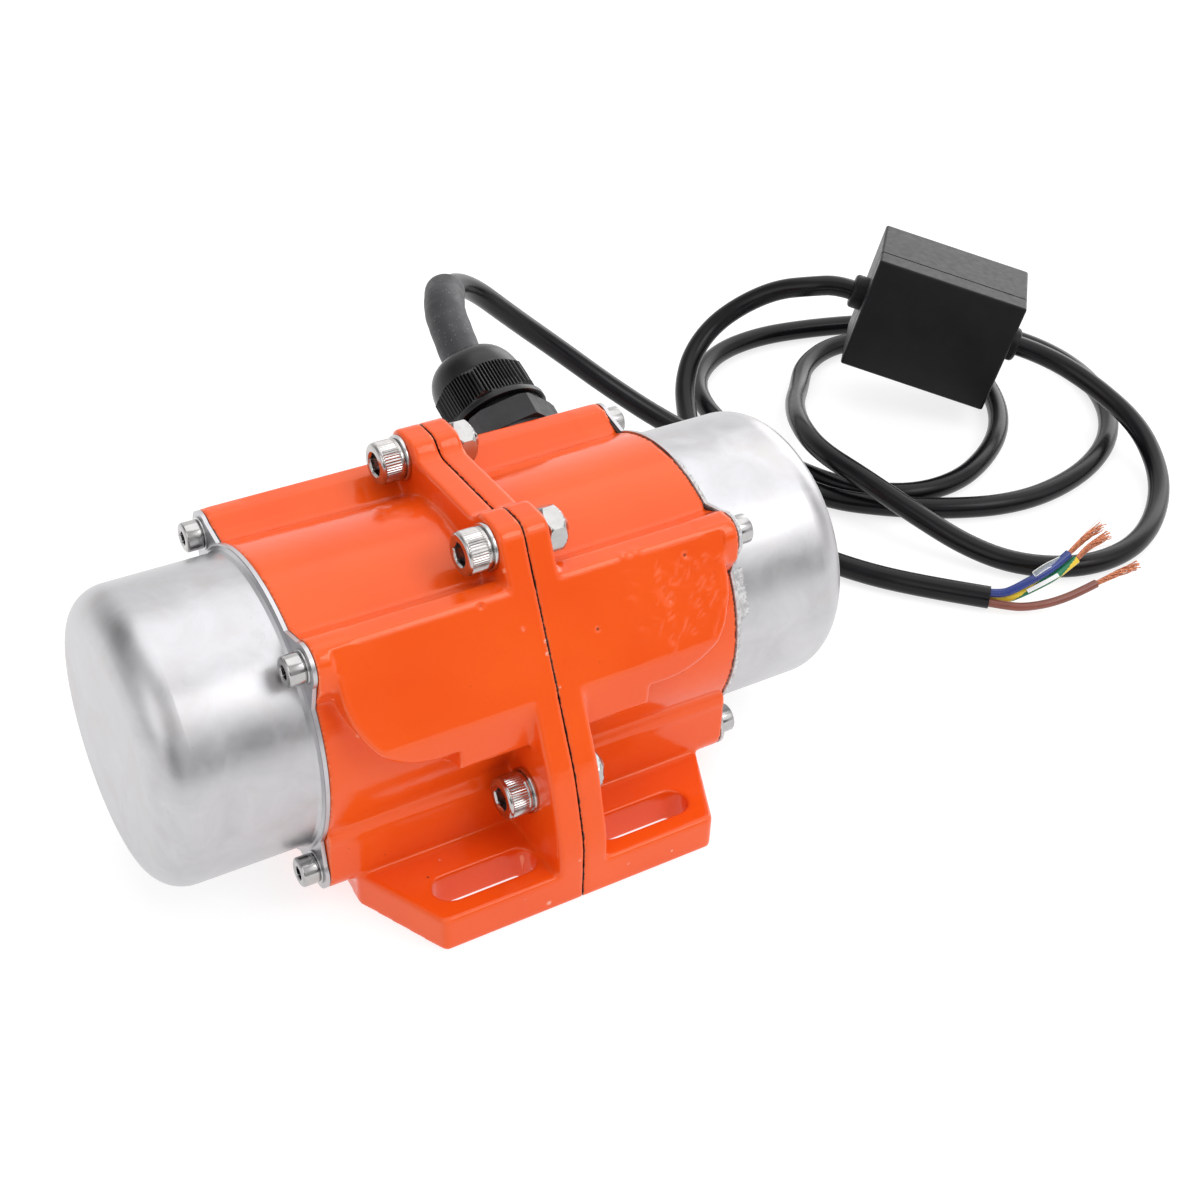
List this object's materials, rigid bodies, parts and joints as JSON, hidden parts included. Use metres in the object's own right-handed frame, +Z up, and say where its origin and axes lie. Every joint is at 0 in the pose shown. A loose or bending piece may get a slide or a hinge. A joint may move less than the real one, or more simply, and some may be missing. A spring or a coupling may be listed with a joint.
{
  "type": "vibration motor",
  "caption": "Small vibration motor with a bolted two-part cast housing, drawn end caps, adjustable unbalance weights, slotted feet and a power cord with a capacitor box.",
  "frame": {"origin": "centre of the slot pattern on the base plane, in the parting plane of the housing halves", "axes": "+X along the motor shaft towards the cap nearer the cable gland, +Y towards the cable gland's side, +Z up from the base"},
  "size_m": [0.3651, 0.2048, 0.0846],
  "materials": {
    "housing_paint": "gloss, cast surface under paint",
    "cap_steel": "satin, drawn",
    "gasket_rubber": "matte",
    "screw_steel": "bright zinc",
    "nut_steel": "polished",
    "washer_steel": "polished",
    "core_steel": "dull laminations",
    "winding_copper": "varnished copper",
    "rotor_aluminium": "cast",
    "shaft_steel": "ground",
    "bearing_steel": "ground and polished",
    "weight_steel": "sawn and turned",
    "gland_nylon": "smooth nylon",
    "seal_rubber": "soft",
    "cord_rubber": "half gloss sheath",
    "sleeve_rubber": "matte",
    "box_plastic": "fine grain",
    "capacitor_film": "moulded",
    "core_blue": "smooth",
    "core_brown": "smooth",
    "core_green_yellow": "striped",
    "copper": "bare strands"
  },
  "bodies": {
    "motor": {"housing_left_half": "housing_paint", "housing_right_half": "housing_paint", "flange_bolts": "screw_steel", "flange_washers": "washer_steel", "flange_nuts": "nut_steel", "stator_core": "core_steel", "stator_winding": "winding_copper", "bearing_preload_washer": "bearing_steel", "bearing_shim": "bearing_steel", "gland_body": "gland_nylon", "gland_o_ring": "seal_rubber", "gland_seal": "seal_rubber", "gland_nut": "gland_nylon", "motor_lead": "cord_rubber", "cable_sleeve": "sleeve_rubber", "power_cord": "cord_rubber", "capacitor_box": "box_plastic", "box_lid": "box_plastic", "capacitor": "capacitor_film", "box_grommet_left": "seal_rubber", "box_grommet_right": "seal_rubber", "lead_cord": "cord_rubber", "wire_brown": "core_brown", "wire_blue": "core_blue", "wire_green_yellow": "core_green_yellow", "copper_strands": "copper", "left_end_cap": "cap_steel", "right_end_cap": "cap_steel", "left_cap_gasket": "gasket_rubber", "right_cap_gasket": "gasket_rubber", "left_cap_screws": "screw_steel", "right_cap_screws": "screw_steel", "left_cap_washers": "washer_steel", "right_cap_washers": "washer_steel", "left_bearing_outer_ring": "bearing_steel", "right_bearing_outer_ring": "bearing_steel"},
    "rotor": {"shaft": "shaft_steel", "rotor_core": "core_steel", "rotor_end_rings": "rotor_aluminium", "left_weight_spacer": "shaft_steel", "left_inner_weight": "weight_steel", "left_inner_weight_bolt": "screw_steel", "left_retaining_ring": "shaft_steel", "left_bearing_inner_ring": "bearing_steel", "right_weight_spacer": "shaft_steel", "right_inner_weight": "weight_steel", "right_inner_weight_bolt": "screw_steel", "right_retaining_ring": "shaft_steel", "right_bearing_inner_ring": "bearing_steel"},
    "left_adjustable_weight": {"left_outer_weight": "weight_steel", "left_outer_weight_bolt": "screw_steel"},
    "left_ball_cage": {"left_bearing_balls": "bearing_steel", "left_bearing_cage": "shaft_steel"},
    "right_adjustable_weight": {"right_outer_weight": "weight_steel", "right_outer_weight_bolt": "screw_steel"},
    "right_ball_cage": {"right_bearing_balls": "bearing_steel", "right_bearing_cage": "shaft_steel"}
  },
  "joints": [
    {"name": "rotor_spin", "type": "hinge", "parent": "motor", "child": "rotor", "pos_m": [0, 0, 0.0393], "axis": [1, 0, 0], "continuous": true},
    {"name": "left_cage_spin", "type": "hinge", "parent": "motor", "child": "left_ball_cage", "pos_m": [0, 0, 0.0393], "axis": [1, 0, 0], "continuous": true},
    {"name": "right_cage_spin", "type": "hinge", "parent": "motor", "child": "right_ball_cage", "pos_m": [0, 0, 0.0393], "axis": [1, 0, 0], "continuous": true},
    {"name": "left_weight_adjust", "type": "hinge", "parent": "rotor", "child": "left_adjustable_weight", "pos_m": [0, 0, 0.0393], "axis": [1, 0, 0], "range_deg": [0, 180]},
    {"name": "right_weight_adjust", "type": "hinge", "parent": "rotor", "child": "right_adjustable_weight", "pos_m": [0, 0, 0.0393], "axis": [1, 0, 0], "range_deg": [0, 180]}
  ],
  "couplings": [
    {"joint": "left_cage_spin", "follows": "rotor_spin", "ratio": 0.36364},
    {"joint": "right_cage_spin", "follows": "rotor_spin", "ratio": 0.36364}
  ]
}
